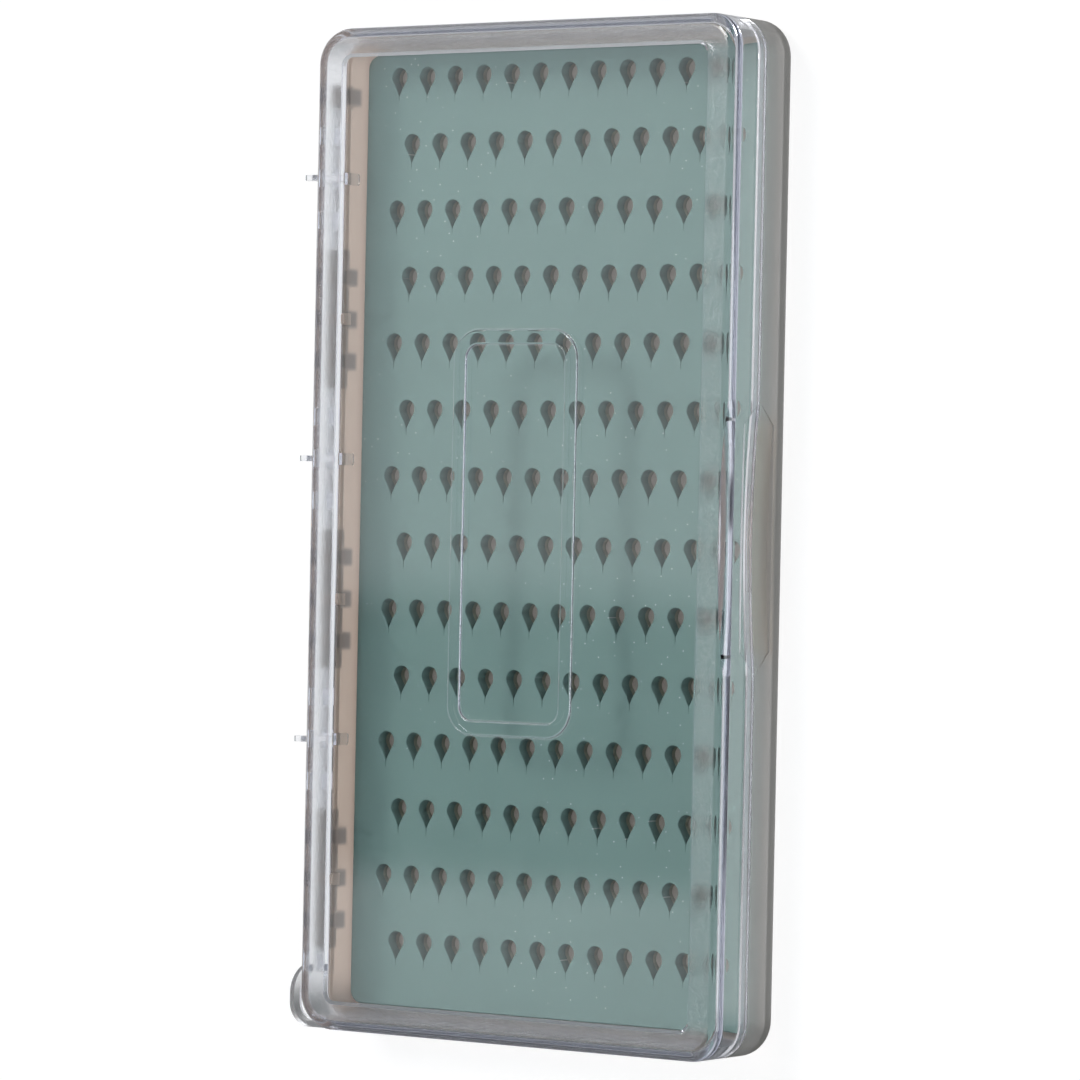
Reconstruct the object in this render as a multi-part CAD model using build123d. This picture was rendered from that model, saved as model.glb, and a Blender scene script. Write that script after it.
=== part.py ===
from build123d import *
from math import atan2, degrees
import os

# Slim fly box, lying closed on its back. Millimetres, +Z up. X is the width, with the
# hinge on the -X side and the opening edge on the +X side. Y is the length. The origin is
# the centre of the tray's back face.

# ---- driving dimensions -------------------------------------------------------------
LENGTH = 177.6            # both halves, along Y
WIDTH = 89.0              # both halves, along X, without the hinge barrel
THICKNESS = 18.4          # closed, from the back of the base to the face of the lid
CORNER_R = 6.5            # plan radius of the four outer corners
EDGE_R = 2.2              # round on the back edge of the base and the face edge of the lid

WALL = 1.8                # side walls of both halves
FLOOR = 1.8               # back wall of the base
LID_FACE = 1.8            # face wall of the lid, under its raised border
CAVITY_R = 1.0            # round between the base's walls and floor, inside
CEILING_R = 0.25          # and between the lid's walls and face, nearly sharp

SEAM_GAP = 0.15           # what stays open at the closed seam, half way up
SKIRT = 0.8               # thickness of the lid's skirt outside the lip
LIP_GAP = 0.3             # side clearance between skirt and lip
LIP_RISE = 1.3            # how far the base's lip stands up inside the skirt

SIDE_BORDER = 6.5         # from the long sides to the window, raised and matt
END_BORDER = 5.3          # and from the ends
WINDOW_SINK = 0.4         # how far the window lies below the border
WINDOW_STEP = 0.6         # width of the slope between them
WINDOW_R = 1.6            # plan radius of the window's corners
PANEL_LENGTH = 70.6       # raised band on the window, outer size
PANEL_WIDTH = 26.0
PANEL_R = 5.2             # its outer corner radius
PANEL_BAND = 2.6          # width of the band
PANEL_RISE = 0.4          # its height over the window
PANEL_EDGE_R = 0.34       # round on its edges

HINGE_OUT = 1.5           # hinge axis outside the hinge wall's face
BARREL_R = 1.6            # hinge barrel
PIN_R = 0.75              # steel hinge pin
PIN_FIT = 0.05            # radial running clearance of the pin
BARREL_SWING = 0.25       # radial clearance between a barrel and the other half's wall
BARREL_LENGTH = 25.0      # one of the six barrels, from joint to joint
BARRELS = 6
BARREL_GAP = 0.3          # axial gap at each joint
BOSS_LENGTH = 4.2         # end barrel past the sixth joint
BOSS_END = 0.8            # solid end of the blind boss
TOOTH_WIDTH = 3.1         # ribs that tie a barrel to its wall
TOOTH_PITCH = 7.5
TEETH = 3
TOOTH_REACH = 4.1         # rib's length along the wall, from the axis
FIN_WIDTH = 1.0           # thin stop fins on the lid's hinge wall
FIN_REACH = 7.0           # fin's length along the wall, from the axis
FIN_NECK = 1.25           # fin's outer edge outside the axis, along its shank
FIN_OUT = 2.1             # nose of the fin: it stops the lid just short of flat
FIN_NOSE = 1.4            # height of the nose
TONGUE_WIDTH = 2.1        # locating tongues inside the hinge wall
TONGUE_THICK = 0.6
TONGUE_GAP = 0.35         # between a tongue and the wall it laps over, to swing past the lip
LID_TONGUE_REACH = 1.7    # past the seam, down into the base
BASE_TONGUE_REACH = 2.3   # past the seam, up into the lid
TONGUE_ROOT = 1.2         # length joined to its own wall
TONGUE_R = 0.5            # round on the tip's corners

SCOOP_LENGTH = 46.6       # thumb scoop across the seam, opening side
SCOOP_TOP_LENGTH = 38.6   # its length at its upper and lower ends
SCOOP_DEPTH = 1.0
SCOOP_RISE = 4.6          # from the half thickness up and down
CATCH_LENGTH = 18.0       # snap bead on the lip behind the scoop
CATCH_RISE = 0.2
CATCH_HEIGHT = 0.4
CATCH_PLAY = 0.15         # groove in the skirt is this much deeper and wider
CATCH_DROP = 0.2          # top of the bead under the top of the lip

LOOP_BAR = 1.0            # bar of the lanyard loop at the hinge-side corner
LOOP_HEIGHT = 2.2         # its height along Z
LOOP_TOP = 2.0            # its top under the face of the lid
LOOP_OUT = 2.95           # how far it stands off the hinge wall
LOOP_R = 4.2              # its outer corner radius at the end of the lid
LOOP_ROOT_R = 6.1         # radius of its run back to the hinge wall
LOOP_LENGTH = 11.9        # along the hinge wall, with that radius run out
LOOP_END_SINK = 0.2       # it stays this far inside the end face

MAT_HINGE_GAP = 0.6       # from the mat to the hinge wall
MAT_SCOOP_GAP = 0.2       # and to the wall opposite, where the scoop bows it in
MAT_END_GAP = 2.1         # and to the end walls
MAT_THICK = 2.3
MAT_R = 2.6               # its corner radius
FILM_THICK = 1.0          # foam adhesive sheet under the mat
FILM_INSET = 0.5          # the sheet stays this far inside the mat's edge
COLUMN_PITCH = 6.12
ROW_PITCH = 11.85
SIDE_MARGIN = 4.5         # least from the mat's side edges to the centres of the outer heads
TOP_ROW_MARGIN = 4.05     # mat's top edge to the centres of the first row's heads
LAST_ROW_MARGIN = 6.5     # least from the last row's heads to the mat's lower edge
HEAD_R = 1.65             # round head of a slot
TIP_DROP = 3.3            # head centre to the tip
FLANK_PULL = 0.1          # how far the flanks curve in towards the tip
SLIT_WIDTH = 0.16         # cut that runs on below the tip
SLIT_LENGTH = 1.2

# ---- derived values -----------------------------------------------------------------
HALF_W = WIDTH / 2
HALF_L = LENGTH / 2
MID_Z = THICKNESS / 2
AXIS_X = -HALF_W - HINGE_OUT
AXIS_Z = MID_Z
SEAM_Z = MID_Z - SEAM_GAP / 2
LIP_Z = MID_Z + LIP_RISE
LIP_INSET = SKIRT + LIP_GAP
WINDOW_Z = THICKNESS - WINDOW_SINK
CEILING_Z = THICKNESS - LID_FACE
RUN = BARREL_LENGTH * BARRELS
BORE_R = PIN_R + PIN_FIT
FILM_Z = FLOOR
MAT_Z = FILM_Z + FILM_THICK
MAT_LOW_X = -HALF_W + WALL + MAT_HINGE_GAP
MAT_HIGH_X = HALF_W - WALL - SCOOP_DEPTH - MAT_SCOOP_GAP
MAT_WIDTH = MAT_HIGH_X - MAT_LOW_X
MAT_LENGTH = LENGTH - 2 * (WALL + MAT_END_GAP)
SLOT_COLUMNS = int((MAT_WIDTH - 2 * SIDE_MARGIN) / COLUMN_PITCH + 0.5)
SLOT_ROWS = int((MAT_LENGTH - TOP_ROW_MARGIN - LAST_ROW_MARGIN) / ROW_PITCH) + 1
REACH = 20.0              # tool bodies run this far past what they cut


def slab(inset, z_low, z_high):
    """The box's rounded plan outline, moved in by inset, as a solid between two heights."""
    plan = RectangleRounded(WIDTH - 2 * inset, LENGTH - 2 * inset, CORNER_R - inset)
    return Pos(0, 0, z_low) * extrude(plan, z_high - z_low)


def span(x_low, x_high, y_low, y_high, z_low, z_high):
    """A plain block between two corners."""
    block = Box(x_high - x_low, y_high - y_low, z_high - z_low, align=(Align.MIN,) * 3)
    return Pos(x_low, y_low, z_low) * block


def past_bow(inset, z_low, z_high):
    """Everything on the +X side of the scoop's arc, for a wall face moved in by inset."""
    face_x = HALF_W - inset
    half = SCOOP_LENGTH / 2
    arc = ThreePointArc((face_x, -half), (face_x - SCOOP_DEPTH, 0), (face_x, half))
    back = Polyline((face_x, half), (face_x + REACH, half), (face_x + REACH, -half), (face_x, -half))
    return Pos(0, 0, z_low) * extrude(make_face(arc.edges() + back.edges()), z_high - z_low)


def bowed_slab(inset, z_low, z_high):
    """The rounded outline with its opening side bowed in along the scoop."""
    return slab(inset, z_low, z_high) - past_bow(inset, z_low, z_high)


def scoop_cut():
    """The thumb scoop: the bow, kept to a six-sided patch across the seam."""
    wide = SCOOP_LENGTH / 2
    narrow = SCOOP_TOP_LENGTH / 2
    patch = Polyline((-wide, 0), (-narrow, SCOOP_RISE), (narrow, SCOOP_RISE), (wide, 0),
                     (narrow, -SCOOP_RISE), (-narrow, -SCOOP_RISE), close=True)
    side = Plane(origin=(0, 0, MID_Z), x_dir=(0, 1, 0), z_dir=(1, 0, 0))
    prism = extrude(side * make_face(patch), HALF_W + REACH)
    return past_bow(0, 0, THICKNESS) & prism


# ---- hinge --------------------------------------------------------------------------
def barrel_spans(of_lid):
    """The Y spans of one half's barrels. The lid has the first one at the +Y end."""
    spans = []
    for i in range(BARRELS):
        if (i % 2 == 0) == of_lid:
            top = RUN / 2 - i * BARREL_LENGTH
            spans.append((top - BARREL_LENGTH + BARREL_GAP / 2, top - BARREL_GAP / 2))
    return spans


def boss_span(of_lid):
    """The end barrel: the base's closes the +Y end of the run, the lid's the -Y end."""
    near = RUN / 2 + BARREL_GAP / 2
    far = near + BOSS_LENGTH
    return (-far, -near) if of_lid else (near, far)


def along_y(profile_points, y_low, y_high):
    """A prism along Y from (x, z) points taken from the hinge axis."""
    points = [(AXIS_X + x, AXIS_Z + z) for x, z in profile_points]
    section = Plane(origin=(0, y_low, 0), x_dir=(1, 0, 0), z_dir=(0, -1, 0))
    return extrude(section * make_face(Polyline(*points, close=True)), -(y_high - y_low))


def rod_y(radius, y_low, y_high):
    """A round rod on the hinge axis."""
    turned = Rot(90, 0, 0) * Cylinder(radius, y_high - y_low)
    return Pos(AXIS_X, (y_low + y_high) / 2, AXIS_Z) * turned


def tooth(y_mid, up, width):
    """A rib that ties the barrel to its wall and fades out along it."""
    root = HINGE_OUT + WALL / 4
    lean = BARREL_R * 0.78
    near = BARREL_R * 0.56
    points = [(root, 0), (-lean, 0), (-lean, up * near), (HINGE_OUT, up * TOOTH_REACH),
              (root, up * TOOTH_REACH)]
    return along_y(points, y_mid - width / 2, y_mid + width / 2)


def web(y_low, y_high, up):
    """The flat foot that joins a barrel to its wall for its whole length."""
    root = HINGE_OUT + WALL / 4
    points = [(0, up * SEAM_GAP), (root, up * SEAM_GAP), (root, up * BARREL_R), (0, up * BARREL_R)]
    return along_y(points, y_low, y_high)


def hinge_half(of_lid):
    """All barrels, feet and ribs of one half, still without the pin's bore."""
    up = 1 if of_lid else -1
    solid = None
    for y_low, y_high in barrel_spans(of_lid) + [boss_span(of_lid)]:
        piece = rod_y(BARREL_R, y_low, y_high) + web(y_low, y_high, up)
        solid = piece if solid is None else solid + piece
    for y_low, y_high in barrel_spans(of_lid):
        middle = (y_low + y_high) / 2
        for k in range(TEETH):
            solid += tooth(middle + (k - (TEETH - 1) / 2) * TOOTH_PITCH, up, TOOTH_WIDTH)
    boss_low, boss_high = boss_span(of_lid)
    solid += tooth((boss_low + boss_high) / 2, up, TOOTH_WIDTH)
    return solid


def swing_room(of_lid):
    """Room cut into one half's wall for the other half's barrels."""
    grown = BARREL_R + BARREL_SWING
    room = None
    for y_low, y_high in barrel_spans(not of_lid) + [boss_span(not of_lid)]:
        piece = rod_y(grown, y_low - BARREL_GAP, y_high + BARREL_GAP)
        room = piece if room is None else room + piece
    return room


def pin_bore():
    """The long bore: open at the lid's boss, blind in the base's."""
    far = RUN / 2 + BARREL_GAP / 2 + BOSS_LENGTH
    return rod_y(BORE_R, -far - REACH, far - BOSS_END)


def tongue(y_mid, root_z, up, reach):
    """A small flat tongue inside the hinge wall that laps over the other half's wall."""
    inner_x = -HALF_W + WALL
    near_x = inner_x + TONGUE_GAP
    far_x = near_x + TONGUE_THICK
    half = TONGUE_WIDTH / 2
    root_far = root_z + up * TONGUE_ROOT
    tip_z = MID_Z - up * reach
    root = span(inner_x - WALL / 4, far_x, y_mid - half, y_mid + half,
                min(root_z, root_far), max(root_z, root_far))
    blade = span(near_x, far_x, y_mid - half, y_mid + half, min(tip_z, root_far), max(tip_z, root_far))
    tips = blade.edges().filter_by(Axis.X).sort_by(Axis.Z)
    tips = tips[:2] if up > 0 else tips[-2:]
    return root + fillet(tips, TONGUE_R)


def stop_fin(y_mid):
    """A thin fin that meets the base's outer wall when the lid is folded back."""
    root = HINGE_OUT + WALL / 4
    slope = FIN_OUT - FIN_NECK
    under_nose = FIN_REACH - FIN_NOSE
    points = [(root, BARREL_R / 2), (-FIN_NECK, BARREL_R / 2), (-FIN_NECK, under_nose - slope),
              (-FIN_OUT, under_nose), (-FIN_OUT, FIN_REACH - slope / 2),
              (-FIN_OUT + slope / 2, FIN_REACH), (root, FIN_REACH)]
    return along_y(points, y_mid - FIN_WIDTH / 2, y_mid + FIN_WIDTH / 2)


# ---- the two halves -----------------------------------------------------------------
def base_tray():
    """Smoke-tinted half: back, walls, lip, catch bead and its share of the hinge."""
    body = slab(0, 0, SEAM_Z)
    body = fillet(body.faces().sort_by(Axis.Z)[0].edges(), EDGE_R)
    body += bowed_slab(LIP_INSET, SEAM_Z - WALL, LIP_Z)
    body += catch_band(LIP_INSET - CATCH_RISE, 0)
    body -= scoop_cut()
    cavity = slab(WALL, FLOOR, THICKNESS)
    cavity = fillet(cavity.faces().sort_by(Axis.Z)[0].edges(), CAVITY_R)
    body -= cavity - past_bow(WALL, 0, THICKNESS)
    body -= swing_room(of_lid=False)
    body += hinge_half(of_lid=False)
    for y_low, y_high in barrel_spans(of_lid=False):
        body += tongue((y_low + y_high) / 2, LIP_Z, -1, BASE_TONGUE_REACH)
    return body - pin_bore()


def catch_band(inset, play):
    """The snap bead's band on the lip, or with play the groove for it in the skirt."""
    top = LIP_Z - CATCH_DROP + play
    low = top - CATCH_HEIGHT - 2 * play
    half = CATCH_LENGTH / 2 + play
    inner = WALL if play == 0 else LIP_INSET
    band = bowed_slab(inset, low, top) - bowed_slab(inner, low, top)
    return band & span(0, HALF_W, -half, half, low, top)


def lid_tray():
    """Clear half: face with border, window and raised band, skirt, fins and its hinge share."""
    body = slab(0, SEAM_Z + SEAM_GAP, THICKNESS)
    body = fillet(body.faces().sort_by(Axis.Z)[-1].edges(), EDGE_R)
    body -= bowed_slab(SKIRT, 0, LIP_Z + LIP_GAP)
    body -= catch_band(SKIRT - CATCH_PLAY, CATCH_PLAY)
    body -= scoop_cut()
    cavity = slab(WALL, 0, CEILING_Z)
    cavity = fillet(cavity.faces().sort_by(Axis.Z)[-1].edges(), CEILING_R)
    body -= cavity - past_bow(WALL, 0, THICKNESS)
    window = RectangleRounded(WIDTH - 2 * SIDE_BORDER, LENGTH - 2 * END_BORDER, WINDOW_R)
    slope = degrees(atan2(WINDOW_STEP, WINDOW_SINK))
    body -= Pos(0, 0, WINDOW_Z) * extrude(window, WINDOW_SINK * 2, taper=-slope)
    body += raised_band()
    body -= swing_room(of_lid=True)
    body += hinge_half(of_lid=True)
    for y_low, y_high in barrel_spans(of_lid=True):
        body += stop_fin((y_low + y_high) / 2)
        body += tongue((y_low + y_high) / 2, LIP_Z + LIP_GAP, 1, LID_TONGUE_REACH)
    body += lanyard_loop()
    return body - pin_bore()


def raised_band():
    """The bare rounded frame that stands on the window."""
    outer = RectangleRounded(PANEL_WIDTH, PANEL_LENGTH, PANEL_R)
    inner = RectangleRounded(PANEL_WIDTH - 2 * PANEL_BAND, PANEL_LENGTH - 2 * PANEL_BAND,
                             PANEL_R - PANEL_BAND)
    sunk = WINDOW_SINK / 2
    band = Pos(0, 0, WINDOW_Z - sunk) * extrude(outer - inner, PANEL_RISE + sunk)
    return fillet(band.faces().sort_by(Axis.Z)[-1].edges(), PANEL_EDGE_R)


def lanyard_loop():
    """A bar that stands off the rounded corner at the hinge side's -Y end."""
    out_x = -HALF_W - LOOP_OUT
    end_y = -HALF_L + LOOP_END_SINK
    root_y = end_y + LOOP_LENGTH
    in_x = -HALF_W + CORNER_R
    top = THICKNESS - LOOP_TOP
    outer = span(out_x, in_x, end_y, root_y, top - LOOP_HEIGHT, top)
    outer = fillet(loop_corners(outer)[:1], LOOP_R)
    outer = fillet(loop_corners(outer)[-1:], LOOP_ROOT_R)
    hole = span(out_x + LOOP_BAR, in_x, end_y + LOOP_BAR, root_y - LOOP_BAR, 0, THICKNESS)
    hole = fillet(loop_corners(hole)[:1], LOOP_R - LOOP_BAR)
    hole = fillet(loop_corners(hole)[-1:], LOOP_ROOT_R - LOOP_BAR)
    return outer - hole - slab(WALL / 2, 0, THICKNESS)


def loop_corners(block):
    """The upright edges on the block's outermost side, from -Y to +Y."""
    upright = block.edges().filter_by(Axis.Z).sort_by(Axis.X)
    lowest_x = upright[0].center().X
    near = [e for e in upright if abs(e.center().X - lowest_x) < LOOP_R + LOOP_BAR]
    return ShapeList(near).sort_by(Axis.Y)


def hinge_pin():
    """Stainless pin, pushed in from the lid's boss."""
    far = RUN / 2 + BARREL_GAP / 2 + BOSS_LENGTH
    rod = rod_y(PIN_R, -far + BOSS_END / 2, far - BOSS_END - PIN_FIT)
    return chamfer(rod.edges().filter_by(GeomType.CIRCLE), PIN_R / 4)


# ---- mat ----------------------------------------------------------------------------
def slot_outline():
    """One teardrop with its head at the origin, its tip towards -Y, and the slit below it."""
    side = HEAD_R * 0.94
    drop = (HEAD_R ** 2 - side ** 2) ** 0.5
    flank_x = side / 2 - FLANK_PULL
    flank_y = -(drop + TIP_DROP) / 2
    head = ThreePointArc((-side, -drop), (0, HEAD_R), (side, -drop))
    right = ThreePointArc((side, -drop), (flank_x, flank_y), (0, -TIP_DROP))
    left = ThreePointArc((0, -TIP_DROP), (-flank_x, flank_y), (-side, -drop))
    drop_face = make_face(head.edges() + right.edges() + left.edges())
    slit_top = -TIP_DROP + SLIT_WIDTH * 2
    slit = Pos(0, (slit_top - TIP_DROP - SLIT_LENGTH) / 2) * Rectangle(
        SLIT_WIDTH, slit_top + TIP_DROP + SLIT_LENGTH)
    return drop_face + slit


def slot_places():
    """Staggered rows, numbered from the +Y end. Every second row is half a pitch over."""
    row_width = (SLOT_COLUMNS - 0.5) * COLUMN_PITCH
    top_y = MAT_LENGTH / 2 - TOP_ROW_MARGIN
    places = []
    for row in range(SLOT_ROWS):
        shift = COLUMN_PITCH / 2 if row % 2 else 0
        for column in range(SLOT_COLUMNS):
            places.append((-row_width / 2 + shift + column * COLUMN_PITCH, top_y - row * ROW_PITCH))
    return places


def slotted_sheet(inset, z_low, thick):
    """A rounded sheet with all slots cut through it."""
    sheet = RectangleRounded(MAT_WIDTH - 2 * inset, MAT_LENGTH - 2 * inset, MAT_R - inset)
    solid = Pos((MAT_LOW_X + MAT_HIGH_X) / 2, 0, z_low) * extrude(sheet, thick)
    cutter = Pos(0, 0, z_low - thick) * extrude(slot_outline(), 3 * thick)
    return solid.cut(*[Pos(x, y, 0) * cutter for x, y in slot_places()])


def slot_mat():
    """Soft silicone mat with staggered teardrop slots."""
    return slotted_sheet(0, MAT_Z, MAT_THICK)


def mat_adhesive():
    """Foam adhesive sheet, die cut with the mat."""
    return slotted_sheet(FILM_INSET, FILM_Z, FILM_THICK)


NODES = {
    "base_tray": base_tray,
    "lid_tray": lid_tray,
    "slot_mat": slot_mat,
    "mat_adhesive": mat_adhesive,
    "hinge_pin": hinge_pin,
}

os.makedirs("parts", exist_ok=True)
for node, make in NODES.items():
    shape = make()
    export_step(shape, f"parts/{node}.step")
    print(node, "solids", len(shape.solids()), "volume", round(shape.volume, 1))
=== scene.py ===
# %% [markdown]
# # A fly box with a clear lid
# An angler's fly box is a flat pocket case. A grey tray holds a sheet of soft silicone with
# rows of slots, and each slot grips the hook of one fly. A clear lid closes over it on a hinge.
# The construction is already there as a fixed frame. This lesson gives it its looks: how light
# goes through the plastic, how the soft sheet is shaped, and how the lid's border is frosted.
# Blender counts in metres, so a length in millimetres is written with MM.

# %% Load the frame
import math
import bpy
from mathutils import Matrix, Vector


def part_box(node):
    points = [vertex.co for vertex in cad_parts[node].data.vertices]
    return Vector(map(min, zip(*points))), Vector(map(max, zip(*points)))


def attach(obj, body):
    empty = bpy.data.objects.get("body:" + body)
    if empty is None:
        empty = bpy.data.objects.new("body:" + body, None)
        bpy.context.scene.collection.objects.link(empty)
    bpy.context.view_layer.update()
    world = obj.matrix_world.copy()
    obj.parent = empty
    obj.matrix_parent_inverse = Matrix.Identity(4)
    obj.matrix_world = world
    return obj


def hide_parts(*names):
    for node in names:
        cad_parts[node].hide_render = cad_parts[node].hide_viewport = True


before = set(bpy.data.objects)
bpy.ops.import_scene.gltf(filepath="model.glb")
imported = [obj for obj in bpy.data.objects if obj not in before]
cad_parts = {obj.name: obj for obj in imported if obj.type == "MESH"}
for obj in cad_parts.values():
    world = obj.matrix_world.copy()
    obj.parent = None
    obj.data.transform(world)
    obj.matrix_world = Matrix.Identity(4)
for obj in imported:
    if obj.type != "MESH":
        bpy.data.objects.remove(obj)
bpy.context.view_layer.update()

MM = 0.001


def deselect_all():
    """Nothing stays selected: an operator acts on all that is."""
    bpy.ops.object.select_all(action="DESELECT")


deselect_all()

# %% [markdown]
# ## The camera
# A long lens from about a metre away keeps the sides of the box nearly parallel. The place is
# written as the camera's own three axes, because a matrix holds a view exactly, where angles
# would have to be rounded.

# %% Camera
LENS = 178.3
SENSOR = 36.0
CLIP_NEAR, CLIP_FAR = 0.05, 20.0
CAMERA_PLACE = Vector((529.88, 3.63, 776.77)) * MM
CAMERA_RIGHT = Vector((0.82260, 0.02046, -0.56825))
CAMERA_UP = Vector((-0.01972, 0.99978, 0.00745))
CAMERA_BACK = CAMERA_RIGHT.cross(CAMERA_UP).normalized()

lens = bpy.data.cameras.new("camera")
lens.lens = LENS
lens.sensor_width = SENSOR
lens.clip_start, lens.clip_end = CLIP_NEAR, CLIP_FAR
camera = bpy.data.objects.new("camera", lens)
bpy.context.scene.collection.objects.link(camera)
axes = Matrix((CAMERA_RIGHT, CAMERA_UP, CAMERA_BACK)).transposed()
camera.matrix_world = Matrix.Translation(CAMERA_PLACE) @ axes.to_4x4()
bpy.context.scene.camera = camera
bpy.context.scene.view_settings.view_transform = "Standard"
print("camera at", [round(v, 3) for v in camera.location])

# %% [markdown]
# ## How far light may go
# A ray that looks through the lid and into the tray crosses many surfaces, and more where it
# runs along inside a clear wall. A ray that runs out of bounces ends in black, so more are
# allowed here than Blender allows by itself.

# %% Bounces
BOUNCES = 32
GLOSSY_BOUNCES = 24
bpy.context.scene.cycles.max_bounces = BOUNCES
bpy.context.scene.cycles.transmission_bounces = BOUNCES
bpy.context.scene.cycles.glossy_bounces = GLOSSY_BOUNCES
print("bounces:", BOUNCES, "and glossy ones:", GLOSSY_BOUNCES)

# %% [markdown]
# ## Small helpers for materials
# A material is a chain of nodes. Short helpers keep the chains readable: one starts an empty
# material, one adds a node with its settings, and two fill its inputs. Two more are for the end
# of a chain: one chooses between two shaders, and one shows the result.

# %% Node helpers


def start_material(name):
    """A material with no nodes in it yet."""
    made = bpy.data.materials.new(name)
    made.use_nodes = True
    made.node_tree.nodes.clear()
    return made


def add(tree, kind, settings=None, **inputs):
    """One node. settings are its own properties, and inputs its sockets, with _ for a space."""
    node = tree.nodes.new("ShaderNode" + kind)
    for name, value in (settings or {}).items():
        setattr(node, name, value)
    for name, value in inputs.items():
        node.inputs[name.replace("_", " ")].default_value = value
    return node


def put(tree, node, entry, value):
    """An input gets a value: a wire if it is an output socket, or else the number or colour."""
    if isinstance(value, bpy.types.NodeSocket):
        tree.links.new(value, node.inputs[entry])
    else:
        node.inputs[entry].default_value = value


def feed(tree, node, **sources):
    """Wires into a node's inputs, with _ for a space."""
    for name, source in sources.items():
        tree.links.new(source, node.inputs[name.replace("_", " ")])


print("helpers for nodes and wires ready")

# %% Ends of a chain


def choose_shader(tree, share, first, second):
    """The first shader where share is 0, and the second where it is 1."""
    mix = add(tree, "MixShader")
    for entry, source in enumerate((share, first, second)):
        tree.links.new(source, mix.inputs[entry])
    return mix.outputs[0]


def show(tree, shader):
    """The end of the chain: the shader becomes the material's surface."""
    out = add(tree, "OutputMaterial")
    feed(tree, out, Surface=shader)
    return out


print("helpers for shaders ready")

# %% [markdown]
# ## Masks
# One plastic part is polished in one place and frosted in another, so a mask says where: a value
# that is 1 there and 0 elsewhere. Masks are worked out from the place on the piece, with plain
# sums, so they stay sharp at any size and stay put when the piece moves. A fade, here and below,
# is written as two places, and then the mask's values at them, where these aren't 0 and 1.

# %% Sums and fades


def maths(tree, operation, first, second=None):
    """A Math node. Each value is a number or an output socket."""
    node = add(tree, "Math", {"operation": operation})
    put(tree, node, 0, first)
    if second is not None:
        put(tree, node, 1, second)
    return node.outputs[0]


def ramp(tree, source, low, high, to_low=0.0, to_high=1.0, smooth=True):
    """A value turned from the range low to high into the range to_low to to_high."""
    kind = "SMOOTHSTEP" if smooth else "LINEAR"
    node = add(tree, "MapRange", {"interpolation_type": kind}, From_Min=low, From_Max=high,
               To_Min=to_low, To_Max=to_high)
    feed(tree, node, Value=source)
    return node.outputs["Result"]


def away_from(tree, value, centre):
    """How far a value is from centre, to either side."""
    return maths(tree, "ABSOLUTE", maths(tree, "SUBTRACT", value, centre))


print("helpers for sums ready")

# %% Places and masks


def place_on(tree, kind="Object"):
    """The place that is being shaded, counted from the object's origin."""
    return add(tree, "TexCoord").outputs[kind]


def axes_of(tree, place):
    """The X, Y and Z of a place, each to be taken by its letter."""
    split = add(tree, "SeparateXYZ")
    feed(tree, split, Vector=place)
    return split.outputs


def either(tree, *masks):
    """A mask of the places where one mask or another is set."""
    made = masks[0]
    for mask in masks[1:]:
        made = maths(tree, "MAXIMUM", made, mask)
    return made


def both(tree, *masks):
    """A mask of the places where every mask is set."""
    made = masks[0]
    for mask in masks[1:]:
        made = maths(tree, "MULTIPLY", made, mask)
    return made


def rounded_distance(tree, place, half_x, half_y, radius):
    """Distance outside a rounded rectangle about the origin. Inside it is below zero, down to
    minus the radius."""
    def step(operation, source, other=None):
        node = add(tree, "VectorMath", {"operation": operation})
        put(tree, node, 0, source)
        if other is not None:
            put(tree, node, 1, other)
        return node.outputs

    flat = step("ABSOLUTE", place)[0]
    past_core = step("SUBTRACT", flat, (half_x - radius, half_y - radius, 0))[0]
    in_plan = step("MULTIPLY", past_core, (1, 1, 0))[0]
    outside = step("MAXIMUM", in_plan, (0, 0, 0))[0]
    return maths(tree, "SUBTRACT", step("LENGTH", outside)["Value"], radius)


print("helpers for masks ready")

# %% [markdown]
# ## The floor
# The box lies on a plain pale floor. To the camera it glows a little, so that it is white. Rays
# in gloss and in plastic see the glow too, but dimmer under the box, past its ends and past its
# right side. Under the box the dimming is a painted shadow of the box, which shows through the
# tray's floor. The patches past the ends and past the right side draw the grey lines in the clear
# walls, as black cards do in a studio. All other rays see plain matt paint, so that the floor
# gives the box no light.

# %% Sizes of the floor
FLOOR_SIZE = 6.0
FLOOR_DROP = 0.2 * MM
FLOOR_GLOW = 0.83
FLOOR_PAINT = (0.32, 0.32, 0.32, 1)
CORNER_R = 6.5 * MM
# Each dim patch is a fade: two places, and the share of the glow that is lost at each.
# The patch under the box is a painted shadow of the box.
SHADOW_UNDER_BOX = (-1.2 * MM, 0.6 * MM, 0.66, 0.0)
PAST_LOW_END = (-79 * MM, -87 * MM, 0.0, 1.0)
PAST_TOP_END = (82 * MM, 90 * MM, 0.0, 0.60)
PAST_RIGHT = (47 * MM, 70 * MM, 0.0, 0.40)

base_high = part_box("base_tray")[1]
print("the base is", round(2 * base_high.x / MM, 1), "by", round(2 * base_high.y / MM, 1), "mm")

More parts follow.
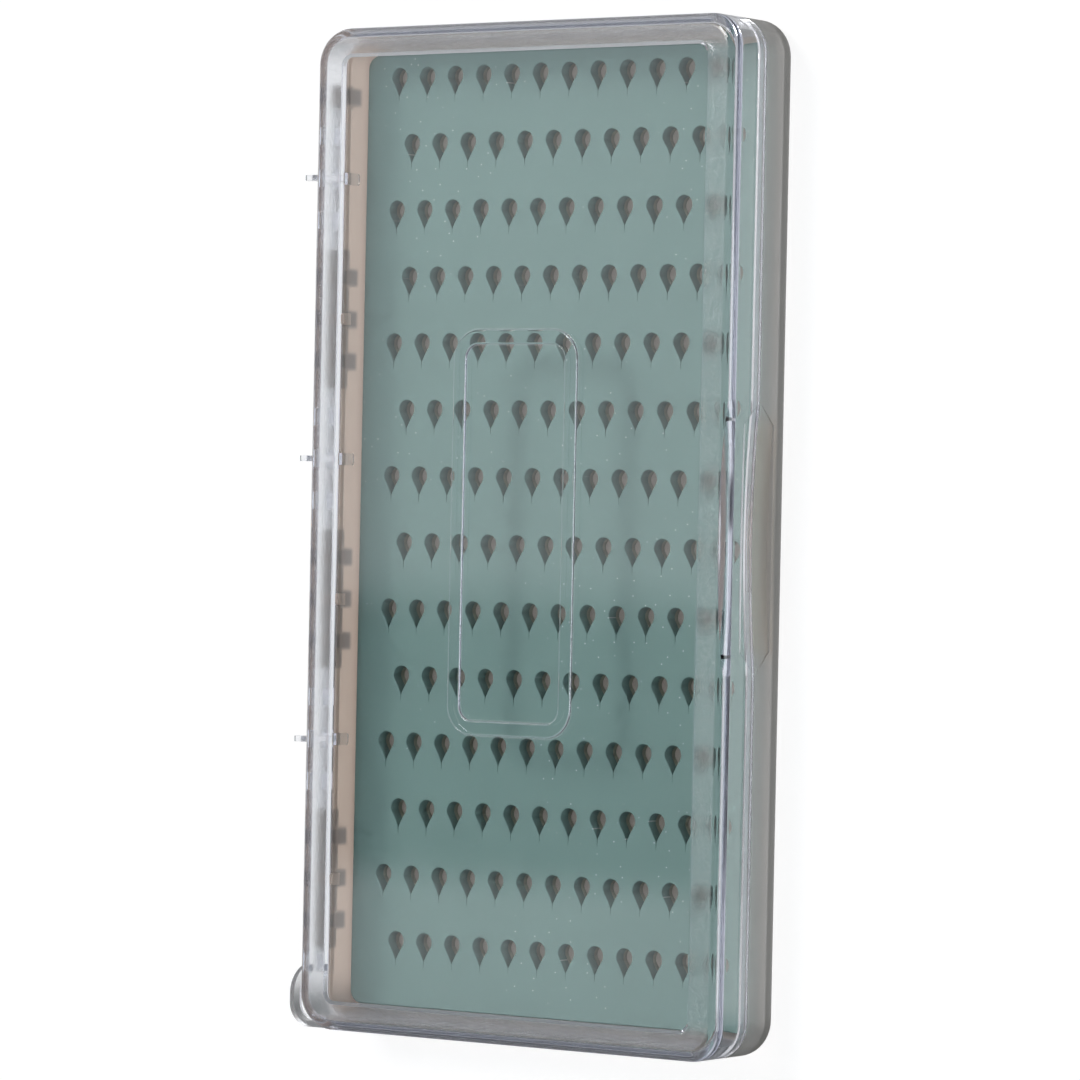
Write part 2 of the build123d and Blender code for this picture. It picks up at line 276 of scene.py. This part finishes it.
# %% Floor
bpy.ops.mesh.primitive_plane_add(size=FLOOR_SIZE, location=(0, 0, -FLOOR_DROP))
floor = bpy.context.active_object
floor.name = "floor"
paint = start_material("floor_paint")
tree = paint.node_tree
place = place_on(tree)
at = axes_of(tree, place)
past_base = rounded_distance(tree, place, base_high.x, base_high.y, CORNER_R)
dim = either(tree, ramp(tree, past_base, *SHADOW_UNDER_BOX), ramp(tree, at["Y"], *PAST_LOW_END),
             ramp(tree, at["Y"], *PAST_TOP_END), ramp(tree, at["X"], *PAST_RIGHT))
path = add(tree, "LightPath")
is_camera = path.outputs["Is Camera Ray"]
dim = both(tree, dim, maths(tree, "SUBTRACT", 1.0, is_camera))
matt = add(tree, "BsdfDiffuse", Color=FLOOR_PAINT)
glow = add(tree, "Emission")
feed(tree, glow, Strength=ramp(tree, dim, 0.0, 1.0, FLOOR_GLOW, 0.0, smooth=False))
bright = add(tree, "AddShader")
put(tree, bright, 0, matt.outputs[0])
put(tree, bright, 1, glow.outputs[0])
looked_at = either(tree, is_camera, path.outputs["Is Glossy Ray"],
                   path.outputs["Is Transmission Ray"])
show(tree, choose_shader(tree, looked_at, matt.outputs[0], bright.outputs[0]))
floor.data.materials.append(paint)
print("floor painted:", len(tree.nodes), "nodes")

# %% [markdown]
# ## The room
# The camera sees a white backdrop. What gloss and plastic show is another thing: in an all-white
# room their edges would vanish. So there the walls are pale on the hinge's side and past the top
# end, and dark on the right and past the lower end. A narrow dark streak overhead draws the darker
# stretch that lies across the lid. To all other rays the room is one even, weak light.

# %% Blending


def blend(tree, share, low, high, kind="RGBA"):
    """A colour between two others, or with kind FLOAT a number. Each may be a socket."""
    node = add(tree, "Mix", {"data_type": kind})
    put(tree, node, "A", low)
    put(tree, node, "B", high)
    feed(tree, node, Factor=share)
    return node.outputs["Result"]


print("helper for blends ready")

# %% Tones of the room
# The fades are in the ray's direction, where 1 is straight along an axis. The streak's own are
# in Y for each Z.
WHITE = (1, 1, 1, 1)
FILL_LIGHT = 0.27
FILL_TONE = (0.98, 0.99, 1.0, 1)
PALE_WALL = (0.68, 0.68, 0.76, 1)
DARK_WALL = (0.09, 0.09, 0.13, 1)
CEILING_TONE = (0.80, 0.80, 0.82, 1)
STREAK_TONE = (0.05, 0.05, 0.06, 1)
LOW_END_DARK = (-0.12, -0.45)
RIGHT_DARK = (0.25, 0.70, 0.0, 0.80)
CEILING_FADE = (0.30, 0.75)
STREAK_STARTS = (-0.010, -0.028)
STREAK_ENDS = (-0.090, -0.078)
STREAK_OVERHEAD = (0.55, 0.65)
print("pale to dark wall:", PALE_WALL[:3], "to", DARK_WALL[:3])

# %% Room
room = bpy.data.worlds.new("room")
room.use_nodes = True
tree = room.node_tree
tree.nodes.clear()
at = axes_of(tree, place_on(tree, "Generated"))
dark_side = either(tree, ramp(tree, at["Y"], *LOW_END_DARK), ramp(tree, at["X"], *RIGHT_DARK))
tone = blend(tree, dark_side, PALE_WALL, DARK_WALL)
tone = blend(tree, ramp(tree, at["Z"], *CEILING_FADE), tone, CEILING_TONE)
slant = maths(tree, "DIVIDE", at["Y"], at["Z"])
in_streak = both(tree, ramp(tree, slant, *STREAK_STARTS), ramp(tree, slant, *STREAK_ENDS),
                 ramp(tree, at["Z"], *STREAK_OVERHEAD))
mirrored = add(tree, "Background", Strength=1.0)
feed(tree, mirrored, Color=blend(tree, in_streak, tone, STREAK_TONE))
backdrop = add(tree, "Background", Color=WHITE, Strength=1.0)
fill = add(tree, "Background", Color=FILL_TONE, Strength=FILL_LIGHT)
path = add(tree, "LightPath")
in_gloss = either(tree, path.outputs["Is Glossy Ray"], path.outputs["Is Transmission Ray"])
around = choose_shader(tree, in_gloss, fill.outputs[0], mirrored.outputs[0])
seen = choose_shader(tree, path.outputs["Is Camera Ray"], around, backdrop.outputs[0])
out = add(tree, "OutputWorld")
feed(tree, out, Surface=seen)
bpy.context.scene.world = room
print("room ready:", len(tree.nodes), "nodes")

# %% [markdown]
# ## The lamps
# One soft box stands above, towards the hinge and the top end. It is fairly small, so that the
# lid's raised band draws a soft shadow on the silicone. A second, larger one stands low at the
# right, and lights the tray's side wall.

# %% Lamps
LAMP_FAR = 1.3


def soft_box(name, direction, size, power, colour=(1, 1, 1)):
    """A square area lamp that looks at the box from that direction."""
    data = bpy.data.lights.new(name, "AREA")
    data.shape = "SQUARE"
    data.size = size
    data.energy = power
    data.color = colour
    lamp = bpy.data.objects.new(name, data)
    bpy.context.scene.collection.objects.link(lamp)
    towards = Vector(direction).normalized()
    lamp.location = towards * LAMP_FAR
    lamp.rotation_euler = towards.to_track_quat("Z", "Y").to_euler()


soft_box("key", direction=(-0.30, 0.40, 1.0), size=0.32, power=5.3)
soft_box("side", direction=(1.0, -0.15, 0.40), size=0.60, power=4.6, colour=(0.86, 0.95, 1.0))

# %% [markdown]
# ## Grain, and light through plastic
# A real finish is never even, so noise and bumps break it up. Clear plastic needs one thing
# more. A path tracer can't aim at a lamp through glass, so what lies behind it would stay dark
# and grainy. For the rays that look for a lamp, the plastic is therefore a plain tinted film.

# %% Grain


def noise(tree, place, grain, detail=2.0):
    """Noise whose grains are about that many metres across."""
    node = add(tree, "TexNoise", Scale=1.0 / grain, Detail=detail)
    feed(tree, node, Vector=place)
    return node.outputs["Fac"]


def bump(tree, height, depth, strength=1.0):
    """A bump of that depth in metres."""
    node = add(tree, "Bump", Strength=strength, Distance=depth)
    feed(tree, node, Height=height)
    return node.outputs["Normal"]


print("helpers for grain ready")

# %% Light through plastic


def let_lamps_through(tree, shader, tint, dye, strength):
    """Clear plastic lets the lamps' light pass: on shadow rays it is a tinted, clear film.
    The dye inside takes more of the light, the longer its way through the plastic."""
    path = add(tree, "LightPath")
    clear = add(tree, "BsdfTransparent")
    put(tree, clear, "Color", tint)
    seen = choose_shader(tree, path.outputs["Is Shadow Ray"], shader, clear.outputs[0])
    dyed = add(tree, "VolumeAbsorption", Color=dye, Density=strength)
    feed(tree, show(tree, seen), Volume=dyed.outputs[0])


print("helper for clear plastic ready")

# %% [markdown]
# ## Clear lid
# The lid is clear polycarbonate. Its window is polished and a little sunk, and the raised border
# round it is etched in the mould, so that it sparkles. On the window stands a low, rounded band.
# One material does it all, and masks say where each finish goes. The distance from a rounded
# rectangle gives the window's edge and the band, and the height tells the faces from the walls.

# %% Sizes of the lid's face
# FLAT_R is the corner radius where the flat face ends and the outer edge begins to round off.
lid_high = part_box("lid_tray")[1]
SIDE_BORDER = 6.5 * MM
END_BORDER = 5.3 * MM
WINDOW_R = 2.2 * MM
WINDOW_DEPTH = 0.4 * MM
EDGE_ROUND = 2.2 * MM
FLAT_R = 4.3 * MM
BAND_HALF = Vector((13.0, 35.3)) * MM
BAND_R = 5.2 * MM
BAND = 2.6 * MM
window_z = lid_high.z - WINDOW_DEPTH
print("lid face", round(2 * lid_high.x / MM, 1), "x", round(2 * lid_high.y / MM, 1), "mm")

# %% Where the border is etched
# Between the window's edge and the lid's rounded outer edge, and on the top face only.
BORDER_FADE = (0.05 * MM, 0.15 * MM)
ROUND_FADE = (0.0, 0.5 * MM, 1.0, 0.0)
FACE_FADE = (lid_high.z - 0.12 * MM, lid_high.z - 0.05 * MM)

clear_plastic = start_material("clear_lid_plastic")
tree = clear_plastic.node_tree
place = place_on(tree)
at = axes_of(tree, place)
past_window = rounded_distance(tree, place, lid_high.x - SIDE_BORDER, lid_high.y - END_BORDER,
                               WINDOW_R)
past_flat = rounded_distance(tree, place, lid_high.x - EDGE_ROUND, lid_high.y - EDGE_ROUND,
                             FLAT_R)
on_border = ramp(tree, past_window, *BORDER_FADE)
etched = both(tree, on_border, ramp(tree, past_flat, *ROUND_FADE),
              ramp(tree, at["Z"], *FACE_FADE))
print("border", round(SIDE_BORDER / MM, 1), "mm wide at the sides,", len(tree.nodes), "nodes")

# %% Where the raised band is
# Its sloping flanks and its two outlines catch the light. Under its whole width the lid lets less
# light through, which gives the band its shadow.
FLANK_FOOT = (0.02 * MM, 0.06 * MM)
FLANK_TOP = (0.34 * MM, 0.39 * MM, 1.0, 0.0)
FLANK_REACH = (0.2 * MM, 0.4 * MM, 1.0, 0.0)
OUTLINE = (0.12 * MM, 0.34 * MM, 0.8, 0.0)
OUTLINE_HEIGHT = (-0.2 * MM, -0.1 * MM)
BAND_FADE = 0.2 * MM

past_band = rounded_distance(tree, place, BAND_HALF.x, BAND_HALF.y, BAND_R)
over_window = maths(tree, "SUBTRACT", at["Z"], window_z)
flank = both(tree, ramp(tree, over_window, *FLANK_FOOT), ramp(tree, over_window, *FLANK_TOP),
             ramp(tree, past_band, *FLANK_REACH))
off_outline = maths(tree, "MINIMUM", away_from(tree, past_band, 0.0),
                    away_from(tree, past_band, -BAND))
outline = both(tree, ramp(tree, off_outline, *OUTLINE), ramp(tree, over_window, *OUTLINE_HEIGHT))
band_edges = either(tree, flank, outline)
on_band = ramp(tree, away_from(tree, past_band, -BAND / 2), BAND / 2, BAND / 2 + BAND_FADE,
               1.0, 0.0)
print("raised band", round(BAND / MM, 1), "mm wide,", len(tree.nodes), "nodes")

# %% Grain and roughness of the lid
# The etching is fine noise. A shallow bump of it blurs the plastic, and a deeper one is for the
# glints. What stands out from the hinge wall is matt too. Handling has left the rest uneven.
ETCH_GRAIN = 0.30 * MM
ETCH_DEPTH = 0.05 * MM
GLINT_DEPTH = 0.30 * MM
HANDLING_GRAIN = 9 * MM
MATT_ROUGH = 0.24
FIN_FADE = (-lid_high.x - 0.1 * MM, -lid_high.x + 0.1 * MM, 1.0, 0.0)
POLISH = (0.45, 0.75, 0.012, 0.045)
GLINTS = (0.42, 0.66, 0.10, 1.0)

fine = noise(tree, place, ETCH_GRAIN, detail=3.0)
grain = both(tree, fine, etched)
etching = bump(tree, grain, ETCH_DEPTH)
sparkle = bump(tree, grain, GLINT_DEPTH)
on_fin = ramp(tree, at["X"], *FIN_FADE)
polish = ramp(tree, noise(tree, place, HANDLING_GRAIN, detail=4.0), *POLISH)
rough = blend(tree, either(tree, etched, on_fin), polish, MATT_ROUGH, "FLOAT")
coat = either(tree, both(tree, etched, ramp(tree, fine, *GLINTS)), band_edges)
print("etched in grains of", round(ETCH_GRAIN / MM, 2), "mm,", len(tree.nodes), "nodes")

# %% Clear plastic
# The coat is a second, stronger gloss. It lies on the etched grains and the band's edges only.
# The film that the lamps shine through is darker on the frosted border, and darkest on the band.
CLEAR = (0.965, 0.97, 0.975, 1)
FILM_CLEAR = (0.94, 0.945, 0.95, 1)
FILM_BORDER = (0.62, 0.64, 0.66, 1)
FILM_BAND = (0.45, 0.47, 0.48, 1)
LID_DYE = (0.45, 0.50, 0.67, 1)
LID_DYE_DENSITY = 40

film = blend(tree, on_border, FILM_CLEAR, FILM_BORDER)
film = blend(tree, on_band, film, FILM_BAND)
plastic = add(tree, "BsdfPrincipled", Base_Color=CLEAR, IOR=1.56, Transmission_Weight=1.0,
              Coat_IOR=2.3, Coat_Roughness=0.24)
feed(tree, plastic, Roughness=rough, Normal=etching, Coat_Weight=coat, Coat_Normal=sparkle)
let_lamps_through(tree, plastic.outputs[0], film, LID_DYE, LID_DYE_DENSITY)
print("clear plastic:", len(tree.nodes), "nodes")

# %% [markdown]
# ## Smoke tray
# The tray is moulded in a grey plastic that light still gets into. Its skin is finely etched all
# over, so it blurs what is behind it. The walls have a cooler tone inside and a warmer one
# outside: this is painted light, for how the light falls on each side of the wall. What stands
# out from the hinge wall is darker. The ribs and barrels there show through the wall only as
# soft, dark shapes, so these are painted on its inner face by a mask, as painted shade.

# %% Tones of the tray
BODY_DEEP = (0.94, 0.74, 0.61, 1)
BODY_PALE = (0.98, 0.78, 0.65, 1)
FLOOR_TONE = (0.82, 0.75, 0.66, 1)
# The inside and outside tones are painted light: they stand in for how the light falls on each
# side of the walls, not for two colours of plastic.
INSIDE_PAINTED_LIGHT = (0.87, 0.88, 0.96, 1)
OUTSIDE_PAINTED_LIGHT = (0.99, 0.955, 0.89, 1)
HINGE_TONE = (0.40, 0.38, 0.37, 1)
FLOOR_FADE = (1.9 * MM, 2.5 * MM, 1.0, 0.0)
HINGE_SIDE_FADE = (-41 * MM, -39 * MM)
INSIDE_FADE = (-2.2 * MM, -1.9 * MM)
OUTSIDE_FADE = (-1.3 * MM, -0.9 * MM)
CLOUD_GRAIN = 30 * MM
HINGE_FADE = (-base_high.x - 0.10 * MM, -base_high.x - 0.02 * MM, 1.0, 0.0)

smoke_plastic = start_material("smoke_tray_plastic")
tree = smoke_plastic.node_tree
place = place_on(tree)
at = axes_of(tree, place)
cloud = noise(tree, place, CLOUD_GRAIN, detail=3.0)
past_side = rounded_distance(tree, place, base_high.x, base_high.y, CORNER_R)
off_hinge = ramp(tree, at["X"], *HINGE_SIDE_FADE)
inside = both(tree, ramp(tree, past_side, *INSIDE_FADE), off_hinge)
outside = both(tree, ramp(tree, past_side, *OUTSIDE_FADE), off_hinge)
tone = blend(tree, cloud, BODY_DEEP, BODY_PALE)
tone = blend(tree, ramp(tree, at["Z"], *FLOOR_FADE), tone, FLOOR_TONE)
tone = blend(tree, inside, tone, INSIDE_PAINTED_LIGHT)
tone = blend(tree, outside, tone, OUTSIDE_PAINTED_LIGHT)
tone = blend(tree, ramp(tree, at["X"], *HINGE_FADE), tone, HINGE_TONE)
print("tray tones:", len(tree.nodes), "nodes")

# %% Painted shade behind the hinge wall
# The hinge repeats along the wall: in the middle of each repeat is one of the tray's own barrels
# with three ribs below it. The ribs lie at the middle and one pitch to either side of it, so
# folding the distance from the middle at half a pitch makes one of the three. Past the last
# repeat a whole metre is added, which ends the pattern, and one end rib is left.
# Where a rib or barrel stands behind the wall, its inner face is darkened: painted shade for the
# light that they hold back.
HINGE_PITCH = 50 * MM
HINGE_START = 12.5 * MM
RIB_PITCH = 7.5 * MM
LAST_REPEAT = 55 * MM
END_RIB_Y = 77.25 * MM
RIB_FADE = (0.9 * MM, 2.0 * MM, 1.0, 0.0)
RIB_FOOT = (5.5 * MM, 6.9 * MM)
BARREL_FADE = (12.1 * MM, 12.7 * MM, 0.7, 0.0)
BARREL_FOOT = (9.0 * MM, 9.8 * MM)
WALL_FADE = (-42.6 * MM, -42.4 * MM, 1.0, 0.0)
RIB_SHADE_TONE = (0.38, 0.31, 0.27, 1)

along = maths(tree, "FLOORED_MODULO", maths(tree, "SUBTRACT", at["Y"], HINGE_START),
              HINGE_PITCH)
off_middle = away_from(tree, along, HINGE_PITCH / 2)
off_rib = away_from(tree, away_from(tree, off_middle, RIB_PITCH / 2), RIB_PITCH / 2)
past_last = maths(tree, "GREATER_THAN", at["Y"], LAST_REPEAT)
off_rib = maths(tree, "MINIMUM", maths(tree, "ADD", off_rib, past_last),
                away_from(tree, at["Y"], END_RIB_Y))
rib = both(tree, ramp(tree, off_rib, *RIB_FADE), ramp(tree, at["Z"], *RIB_FOOT))
barrel = both(tree, ramp(tree, maths(tree, "ADD", off_middle, past_last), *BARREL_FADE),
              ramp(tree, at["Z"], *BARREL_FOOT))
behind = both(tree, either(tree, rib, barrel), ramp(tree, at["X"], *WALL_FADE))
# The darker tone here is painted shade, not the plastic's own colour.
tone = blend(tree, behind, tone, RIB_SHADE_TONE)
print("hinge repeats every", round(HINGE_PITCH / MM), "mm,", len(tree.nodes), "nodes")

# %% Smoke plastic
SKIN_GRAIN, SKIN_DEPTH = 0.35 * MM, 0.012 * MM
SMOKE_ROUGH = (0.3, 0.7, 0.28, 0.34)
SMOKE_FILM = (0.66, 0.58, 0.54, 1)
SMOKE_DYE = (0.0, 0.02, 0.04, 1)
SMOKE_DYE_DENSITY = 110

skin = noise(tree, place, SKIN_GRAIN, detail=3.0)
etching = bump(tree, skin, SKIN_DEPTH, strength=0.8)
plastic = add(tree, "BsdfPrincipled", IOR=1.5, Transmission_Weight=0.75)
feed(tree, plastic, Base_Color=tone, Roughness=ramp(tree, cloud, *SMOKE_ROUGH), Normal=etching)
let_lamps_through(tree, plastic.outputs[0], SMOKE_FILM, SMOKE_DYE, SMOKE_DYE_DENSITY)
print("smoke plastic:", len(tree.nodes), "nodes")

# %% [markdown]
# ## Steel pin and foam sheet
# The pin is drawn wire, so fine lines run along it: a noise that is stretched fifty times along
# the wire. A thin sheet of grey-tan foam, sticky on both faces, holds the mat in the tray. It
# shows as the floor of each slot, so small cells are enough for its look.

# %% Steel
STEEL_TONE = (0.55, 0.54, 0.53, 1)
LINE_STRETCH = (1.0, 0.02, 1.0)
STEEL_ROUGH = (0.3, 0.7, 0.22, 0.38)
steel = start_material("drawn_steel")
tree = steel.node_tree
stretch = add(tree, "Mapping", Scale=LINE_STRETCH)
feed(tree, stretch, Vector=place_on(tree))
lines = noise(tree, stretch.outputs["Vector"], grain=0.15 * MM)
drawn = bump(tree, lines, depth=0.004 * MM, strength=0.6)
metal = add(tree, "BsdfPrincipled", Base_Color=STEEL_TONE, Metallic=1.0)
feed(tree, metal, Roughness=ramp(tree, lines, *STEEL_ROUGH), Normal=drawn)
show(tree, metal.outputs[0])
print("steel:", len(tree.nodes), "nodes")

# %% Foam sheet
PORE_TONE = (0.33, 0.345, 0.275, 1)
FOAM_TONE = (0.41, 0.425, 0.340, 1)
FOAM_CELL = 0.35 * MM
PORE_FADE = (0.0, 0.6)
FOAM_ROUGH = (0.0, 1.0, 0.70, 0.85)
foam = start_material("foam_sheet")
tree = foam.node_tree
cells = add(tree, "TexVoronoi", Scale=1.0 / FOAM_CELL)
feed(tree, cells, Vector=place_on(tree))
pores = ramp(tree, cells.outputs["Distance"], *PORE_FADE)
dimpled = bump(tree, pores, depth=0.03 * MM, strength=0.5)
sponge = add(tree, "BsdfPrincipled", IOR=1.4)
feed(tree, sponge, Base_Color=blend(tree, pores, PORE_TONE, FOAM_TONE),
     Roughness=ramp(tree, pores, *FOAM_ROUGH), Normal=dimpled)
show(tree, sponge.outputs[0])
print("foam:", len(tree.nodes), "nodes")

# %% Finishes on the fixed frame
for node, finish in (("lid_tray", clear_plastic), ("base_tray", smoke_plastic),
                     ("hinge_pin", steel), ("mat_adhesive", foam)):
    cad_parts[node].material_slots[0].material = finish
    print(node, "->", finish.name)

# %% [markdown]
# ## The silicone sheet
# The sheet is soft, so its edges and the rims of its slots are rounded, which the frame's plain
# solid is not. One slot is modelled as a short tube with a rounded rim, and copied to each
# place. Then the flat faces between the tubes are filled in, above and below, so that the whole
# is one closed skin.

# %% Sizes of the sheet
mat_low, mat_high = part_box("slot_mat")
MAT_R = 2.6 * MM
EDGE_SOFT = 0.35 * MM
RIM_ROUND = 0.22 * MM
RIM_GROWTH = 0.095
HEAD_R = 1.65 * MM
TIP_DROP = 3.3 * MM
SLIT = 1.2 * MM
RIM_CENTRE_Y = -0.7 * MM
SLOT_SIDES = 24
COLUMNS, ROWS = 12, 14
COLUMN_PITCH = 6.12 * MM
ROW_PITCH = 11.85 * MM
TOP_ROW_MARGIN = 4.05 * MM
NEAR = 0.01 * MM
mat_size = mat_high - mat_low
print("sheet", [round(v / MM, 2) for v in mat_size], "mm,", COLUMNS * ROWS, "slots")

# %% Selecting by place


def pick(piece, wanted):
    """In edit mode, selects just the points for which wanted(place) is true."""
    bpy.ops.mesh.select_mode(type="VERT")
    bpy.ops.mesh.select_all(action="DESELECT")
    bpy.ops.object.mode_set(mode="OBJECT")
    for point in piece.data.vertices:
        point.select = bool(wanted(point.co))
    bpy.ops.object.mode_set(mode="EDIT")


print("points are picked within", round(NEAR / MM, 3), "mm")

# %% [markdown]
# ## One slot
# A slot is a drop: a round head that runs out into a slit. A circle is pulled into that shape
# pair by pair, because its points then keep their even spacing round the head.

# %% Outline of one slot
# For each pair of lower points: its angle from the top, half width, and height in head radii.
DROP = ((120, 0.80, -0.58), (135, 0.575, -0.95), (150, 0.34, -1.36), (165, 0.05, -1.95))

deselect_all()
bpy.ops.mesh.primitive_circle_add(vertices=SLOT_SIDES, radius=HEAD_R, location=(0, 0, 0))
slot = bpy.context.active_object
slot.name = "slots"
bpy.ops.object.mode_set(mode="EDIT")
for turn, wide, low in DROP:
    x = HEAD_R * math.sin(math.radians(turn))
    y = HEAD_R * math.cos(math.radians(turn))
    pick(slot, lambda p: abs(abs(p.x) - x) < NEAR and abs(p.y - y) < NEAR)
    bpy.ops.transform.resize(value=(wide * HEAD_R / x, 1, 1), center_override=(0, 0, 0))
    bpy.ops.transform.translate(value=(0, low * HEAD_R - y, 0))
pick(slot, lambda p: abs(p.x) < NEAR and abs(p.y + HEAD_R) < NEAR)
bpy.ops.transform.translate(value=(0, HEAD_R - TIP_DROP - SLIT, 0))
bpy.ops.mesh.select_all(action="SELECT")
bpy.ops.transform.translate(value=(0, 0, mat_high.z))
print("one slot:", len(slot.data.vertices), "points round")

# %% A rounded rim
# A quarter round in two steps: how far out of the wall it stands, and how far down it is.
RIM_STEPS = ((1.0, 0.0), (0.293, 0.293), (0.0, 1.0))


def extrude_rim(reach, depth, centre, radius):
    """From the selected loop, at its wall's own size, a rounded rim and then the wall down.
    reach holds the share by which each axis grows for the whole rim."""
    def grow(share):
        return [1 + share * r for r in reach]

    def extrude_down(drop):
        bpy.ops.mesh.extrude_region_move(TRANSFORM_OT_translate={"value": (0, 0, -drop)})

    bpy.ops.transform.resize(value=grow(RIM_STEPS[0][0]), center_override=centre)
    for (out_now, down_now), (out_next, down_next) in zip(RIM_STEPS, RIM_STEPS[1:]):
        extrude_down((down_next - down_now) * radius)
        size = [b / a for a, b in zip(grow(out_now), grow(out_next))]
        bpy.ops.transform.resize(value=size, center_override=centre)
    extrude_down(depth - radius)


bpy.ops.mesh.select_all(action="SELECT")
extrude_rim((RIM_GROWTH, RIM_GROWTH, 0), mat_size.z, (0, RIM_CENTRE_Y, mat_high.z), RIM_ROUND)
bpy.ops.object.mode_set(mode="OBJECT")
print("slot tube:", len(slot.data.polygons), "faces")

# %% All slots


def array(piece, count, step):
    """The piece repeated along a line, as its own mesh."""
    rows = piece.modifiers.new("rows", "ARRAY")
    rows.count = count
    rows.use_relative_offset = False
    rows.use_constant_offset = True
    rows.constant_offset_displace = step
    bpy.ops.object.modifier_apply(modifier=rows.name)


row_width = (COLUMNS - 0.5) * COLUMN_PITCH
first = (-row_width / 2, mat_high.y - TOP_ROW_MARGIN, 0)
bpy.ops.transform.translate(value=first)
array(slot, COLUMNS, (COLUMN_PITCH, 0, 0))
bpy.ops.object.duplicate()
bpy.ops.transform.translate(value=(COLUMN_PITCH / 2, -ROW_PITCH, 0))
slot.select_set(True)
bpy.context.view_layer.objects.active = slot
bpy.ops.object.join()
array(slot, ROWS // 2, (0, -2 * ROW_PITCH, 0))
bpy.ops.object.transform_apply(location=True, rotation=True, scale=True)
print("all slots:", len(slot.data.polygons), "faces")

# %% [markdown]
# ## From slots to sheet
# The sheet's outline is a rounded rectangle with the same kind of rim. Outline and slots are
# then open tubes in one mesh, and Fill closes the flat faces between all the loops at a level.
# Weighted normals keep these large faces flat in the light, and round only the rims.

# %% The sheet's edge
EDGE_SEGMENTS = 6

deselect_all()
middle = ((mat_low.x + mat_high.x) / 2, 0, mat_high.z)
bpy.ops.mesh.primitive_plane_add(size=1, location=middle)
mat = bpy.context.active_object
mat.name = "silicone_mat"
bpy.ops.object.mode_set(mode="EDIT")
edge_x, edge_y = mat_size.x - 2 * EDGE_SOFT, mat_size.y - 2 * EDGE_SOFT
bpy.ops.transform.resize(value=(edge_x, edge_y, 1))
bpy.ops.mesh.bevel(offset=MAT_R - EDGE_SOFT, offset_type="OFFSET", segments=EDGE_SEGMENTS,
                   affect="VERTICES")
bpy.ops.mesh.delete(type="ONLY_FACE")
bpy.ops.mesh.select_all(action="SELECT")
grow_x, grow_y = mat_size.x / edge_x - 1, mat_size.y / edge_y - 1
bpy.ops.transform.resize(value=(1 + grow_x, 1 + grow_y, 1), center_override=middle)
extrude_rim((-grow_x / (1 + grow_x), -grow_y / (1 + grow_y), 0), mat_size.z, middle, EDGE_SOFT)
bpy.ops.object.mode_set(mode="OBJECT")
bpy.ops.object.transform_apply(location=True, rotation=True, scale=True)
print("edge:", len(mat.data.polygons), "faces")

# %% Join and fill
SMOOTH_BELOW = math.radians(50)

deselect_all()
slot.select_set(True)
mat.select_set(True)
bpy.context.view_layer.objects.active = mat
bpy.ops.object.join()
bpy.ops.object.mode_set(mode="EDIT")
for level in (mat_high.z, mat_low.z):
    pick(mat, lambda p: abs(p.z - level) < NEAR)
    bpy.ops.mesh.fill(use_beauty=True)
bpy.ops.mesh.select_all(action="SELECT")
bpy.ops.mesh.normals_make_consistent(inside=False)
bpy.ops.object.mode_set(mode="OBJECT")
bpy.ops.object.shade_smooth_by_angle(angle=SMOOTH_BELOW)
steady = mat.modifiers.new("steady", "WEIGHTED_NORMAL")
steady.keep_sharp = True
bpy.ops.object.modifier_apply(modifier=steady.name)
print("silicone mat:", len(mat.data.polygons), "faces")

# %% [markdown]
# ## Silicone
# Silicone is a soft, satin rubber, and it is seldom quite clean. Large, faint clouds of colour
# and a fine skin keep it from looking like paint. Specks of dust cling to it, and show more where
# the clouds are light: they are the middles of the cells of a flat Voronoi pattern.

# %% Silicone
SAGE_DEEP = (0.126, 0.212, 0.190, 1)
SAGE_LIGHT = (0.144, 0.235, 0.212, 1)
DUST_TONE = (0.62, 0.66, 0.64, 1)
DUST_CELL = 4.0 * MM
SPECK = (0.020, 0.038, 1.0, 0.0)
DUST_SHARE = (0.50, 0.60, 0.15, 0.75)
RUBBER_ROUGH = (0.3, 0.7, 0.50, 0.60)

silicone = start_material("sage_silicone")
tree = silicone.node_tree
place = place_on(tree)
cloud = noise(tree, place, grain=22 * MM, detail=3.0)
dust = add(tree, "TexVoronoi", {"voronoi_dimensions": "2D"}, Scale=1.0 / DUST_CELL)
feed(tree, dust, Vector=place)
speck = both(tree, ramp(tree, dust.outputs["Distance"], *SPECK), ramp(tree, cloud, *DUST_SHARE))
colour = blend(tree, speck, blend(tree, cloud, SAGE_DEEP, SAGE_LIGHT), DUST_TONE)
skin = bump(tree, noise(tree, place, grain=0.9 * MM), depth=0.008 * MM, strength=0.5)
rubber = add(tree, "BsdfPrincipled", IOR=1.41)
feed(tree, rubber, Base_Color=colour, Roughness=ramp(tree, cloud, *RUBBER_ROUGH), Normal=skin)
show(tree, rubber.outputs[0])
mat.data.materials.clear()
mat.data.materials.append(silicone)
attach(mat, "base")
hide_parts("slot_mat")
print("silicone:", len(tree.nodes), "nodes")
